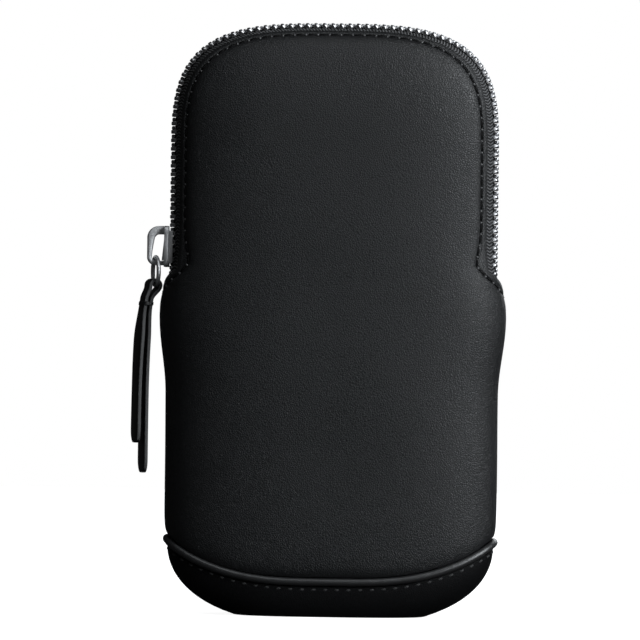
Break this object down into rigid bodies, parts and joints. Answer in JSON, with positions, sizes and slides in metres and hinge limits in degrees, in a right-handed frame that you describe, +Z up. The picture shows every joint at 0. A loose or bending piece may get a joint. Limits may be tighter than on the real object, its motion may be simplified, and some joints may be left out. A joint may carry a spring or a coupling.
{
  "type": "crossbody pouch",
  "caption": "Slim upright leather crossbody pouch with an arched metal zip, leather zip pull, piped boot and strap links on its back.",
  "frame": {"origin": "centre of the flat base that the pouch stands on", "axes": "+Z up the pouch, +X across it to the viewer's right, -Y out of its front; the closed zip chain lies in the plane y = 0"},
  "size_m": [0.1124, 0.0377, 0.18],
  "materials": {
    "body_leather": "black smooth leather with a soft satin sheen",
    "boot_leather": "black smooth leather, a little more matt",
    "piping_leather": "black leather over a cord, satin",
    "pull_leather": "black leather with pale cut edges",
    "tape": "black woven zip tape",
    "lining": "dark grey woven lining",
    "foam": "thin padding foam, hidden",
    "board": "stiff fibre board, hidden",
    "thread": "black sewing thread",
    "zip_metal": "bright satin silver",
    "hardware_metal": "polished silver"
  },
  "bodies": {
    "root": {"front_panel": "body_leather", "rear_panel": "body_leather", "fold_leather": "body_leather", "boot": "boot_leather", "piping": "piping_leather", "base_board": "board", "front_foam": "foam", "rear_foam": "foam", "front_lining": "lining", "rear_lining": "lining", "fold_lining": "lining", "rear_tape": "tape", "zip_end_tab_left": "tape", "zip_end_tab_right": "tape", "rear_teeth": "zip_metal", "top_stop_rear": "zip_metal", "bottom_stop": "zip_metal", "boot_stitch": "thread", "rear_stitch": "thread", "strap_tab_left": "body_leather", "strap_tab_right": "body_leather"},
    "flap": {"front_flap": "body_leather", "flap_foam": "foam", "flap_lining": "lining", "front_tape": "tape", "front_teeth": "zip_metal", "top_stop_front": "zip_metal", "flap_stitch": "thread"},
    "slider": {"slider_body": "hardware_metal", "slider_bail": "hardware_metal"},
    "ring": {"pull_ring": "hardware_metal"},
    "pull": {"pull_strap": "pull_leather", "pull_tie": "pull_leather"},
    "link_left": {"strap_link_left": "hardware_metal"},
    "link_right": {"strap_link_right": "hardware_metal"}
  },
  "joints": [
    {"name": "mouth_open", "type": "hinge", "parent": "root", "child": "flap", "pos_m": [0, 0, 0.1], "axis": [1, 0, 0], "range_deg": [0, 25], "deforming": ["fold_leather", "fold_lining"]},
    {"name": "zip_slide", "type": "slide", "parent": "root", "child": "slider", "axis": [0, 0, 1], "range_m": [0, 0.03]},
    {"name": "ring_swing", "type": "hinge", "parent": "slider", "child": "ring", "pos_m": [-0.0542, 0, 0.1064], "axis": [0.9781, 0.2079, 0], "range_deg": [-40, 90]},
    {"name": "pull_swing", "type": "hinge", "parent": "ring", "child": "pull", "pos_m": [-0.0542, 0, 0.09942], "axis": [-0.2079, 0.9781, 0], "range_deg": [0, 50]},
    {"name": "link_left_swing", "type": "hinge", "parent": "root", "child": "link_left", "pos_m": [-0.02729, 0.01797, 0.136], "axis": [0.9941, 0.1088, 0], "range_deg": [0, 150]},
    {"name": "link_right_swing", "type": "hinge", "parent": "root", "child": "link_right", "pos_m": [0.02729, 0.01797, 0.136], "axis": [0.9941, -0.1088, 0], "range_deg": [0, 150]}
  ]
}
